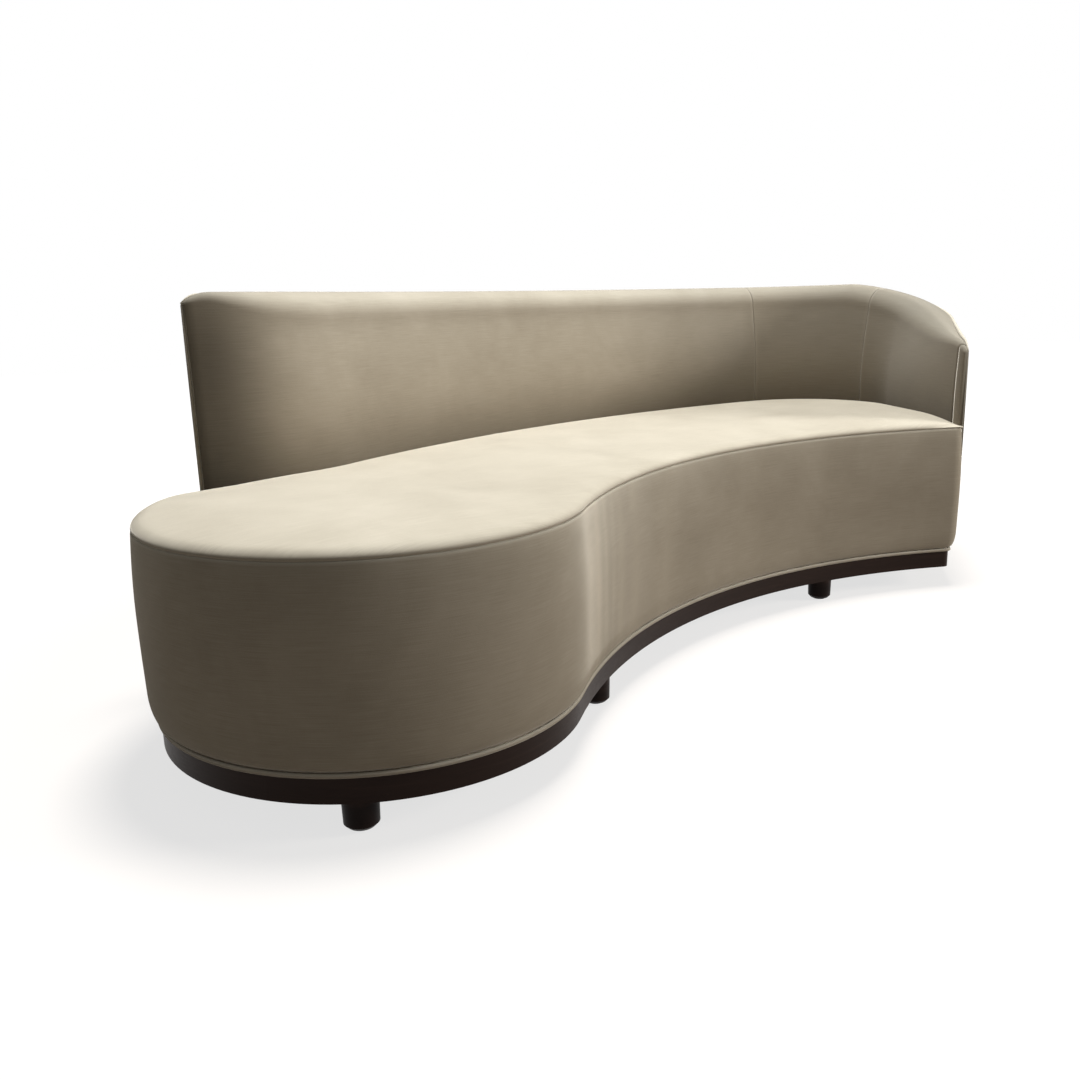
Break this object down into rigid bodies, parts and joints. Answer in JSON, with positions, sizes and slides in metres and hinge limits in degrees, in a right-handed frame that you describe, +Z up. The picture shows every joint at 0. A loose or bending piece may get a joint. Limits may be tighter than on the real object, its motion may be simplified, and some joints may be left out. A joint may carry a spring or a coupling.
{
  "type": "curved sofa",
  "caption": "Kidney-shaped upholstered sofa with a tight seat, a padded back that wraps into one arm, a dark wood plinth and short round legs",
  "frame": {"origin": "on the floor, at the middle of the sofa's bounding box", "axes": "X runs along the sofa from the round lobe (-X) to the wrapped arm (+X), Y from the seat's front to the back, Z up"},
  "size_m": [2.3253, 1.1813, 0.775],
  "materials": {
    "mohair": "short-pile mohair velvet, taupe, soft nap",
    "piping": "self piping in the same fabric, pale where it catches the light",
    "stained_wood": "espresso stain, satin lacquer",
    "frame_wood": "planed hardwood, unfinished",
    "plywood": "birch plywood, unfinished",
    "foam": "cut polyurethane foam",
    "jute_webbing": "woven jute",
    "hessian": "open plain weave",
    "black_lining": "non-woven lining",
    "zinc_steel": "zinc plated",
    "nylon": "moulded"
  },
  "bodies": {
    "root": {"arm_foam": "foam", "arm_front_post": "frame_wood", "arm_panel": "plywood", "back_foam": "foam", "back_posts": "frame_wood", "back_seat_rail": "frame_wood", "back_skin": "plywood", "back_top_rail": "frame_wood", "back_webbing": "jute_webbing", "back_welt": "piping", "band_cover": "mohair", "band_skin": "plywood", "base_welt_back": "piping", "base_welt_front": "piping", "bottom_former": "plywood", "corner_foam": "foam", "cross_rails": "frame_wood", "cross_webbing": "jute_webbing", "dust_cover": "black_lining", "frame_screws": "zinc_steel", "inside_arm_cover": "mohair", "inside_back_cover": "mohair", "inside_corner_cover": "mohair", "left_end_post": "frame_wood", "leg_arm": "stained_wood", "leg_back_left": "stained_wood", "leg_back_middle": "stained_wood", "leg_back_right": "stained_wood", "leg_blocks": "frame_wood", "leg_bolts": "zinc_steel", "leg_front": "stained_wood", "leg_glides": "nylon", "leg_hollow": "stained_wood", "leg_lobe": "stained_wood", "leg_sleeves": "zinc_steel", "outside_back_cover": "mohair", "plinth_arm": "stained_wood", "plinth_back": "stained_wood", "plinth_hollow": "stained_wood", "plinth_lobe": "stained_wood", "seat_cover": "mohair", "seat_foam": "foam", "seat_former": "plywood", "seat_hessian": "hessian", "seat_posts": "frame_wood", "seat_webbing": "jute_webbing"}
  },
  "joints": []
}
